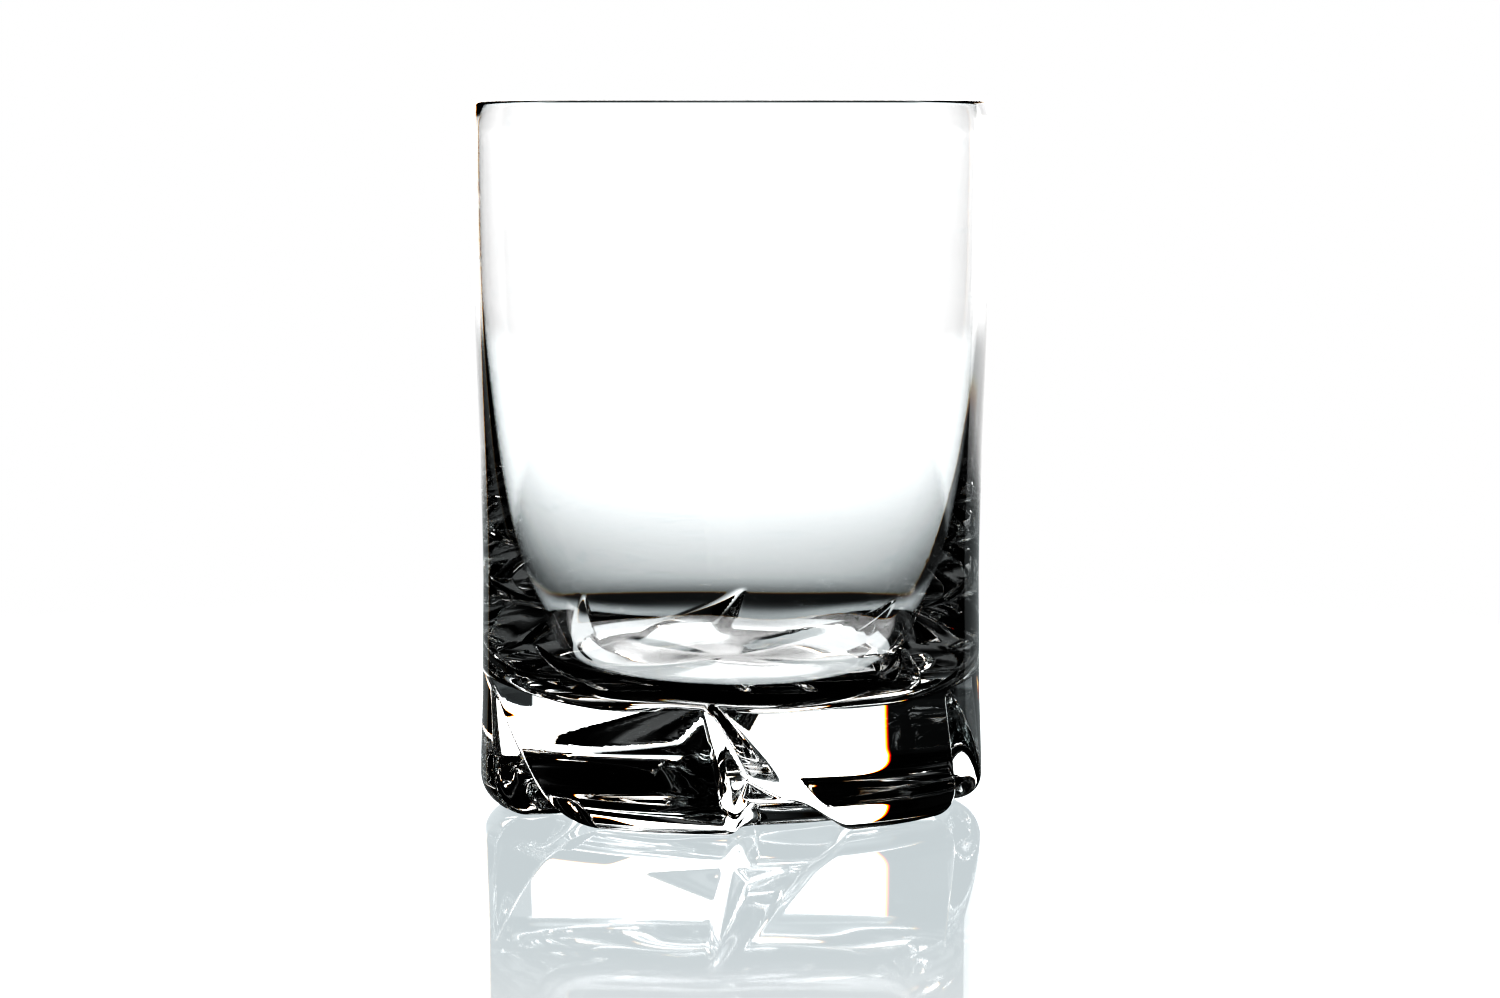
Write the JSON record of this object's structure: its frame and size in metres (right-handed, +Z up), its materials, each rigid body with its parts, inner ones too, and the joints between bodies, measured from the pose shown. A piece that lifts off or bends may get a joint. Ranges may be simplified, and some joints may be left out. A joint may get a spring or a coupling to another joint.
{
  "type": "whiskey tumbler",
  "caption": "Round clear crystal whiskey tumbler with a thick solid base and a foot of twisted lobes parted by slanting grooves.",
  "frame": {"origin": "middle of the foot, on the surface the tumbler stands on", "axes": "+Z up along the bowl's axis, through the rim; the groove nearest -Y faces a viewer who looks along +Y"},
  "size_m": [0.0748, 0.0748, 0.1015],
  "materials": {
    "clear_crystal": "clear, colourless lead crystal, fire-polished, with faint wipe marks"
  },
  "bodies": {
    "root": {"tumbler_glass": "clear_crystal"}
  },
  "joints": []
}
